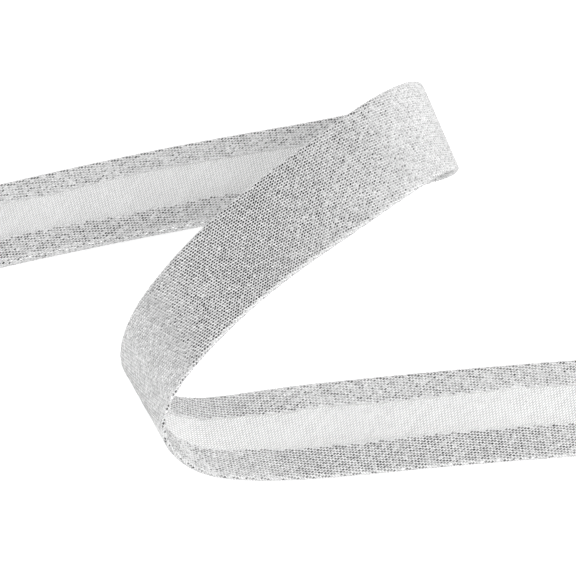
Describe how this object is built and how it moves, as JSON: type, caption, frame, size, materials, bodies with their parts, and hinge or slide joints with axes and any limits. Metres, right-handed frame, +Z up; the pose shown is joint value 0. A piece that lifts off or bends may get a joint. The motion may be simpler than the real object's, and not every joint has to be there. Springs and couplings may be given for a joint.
{
  "type": "cut length of single-fold bias tape",
  "caption": "Metallic woven bias tape with both edges turned in, lying on a surface in one loose loop with its face outside.",
  "frame": {"origin": "on the surface, under the middle of the tape's own box", "axes": "+X along the loop's long way, towards the end that lies in front; +Y away from that end; +Z up from the surface"},
  "size_m": [0.1384, 0.0854, 0.0243],
  "materials": {
    "metallic_cloth": "satin"
  },
  "bodies": {
    "root": {"tape": "metallic_cloth"}
  },
  "joints": []
}
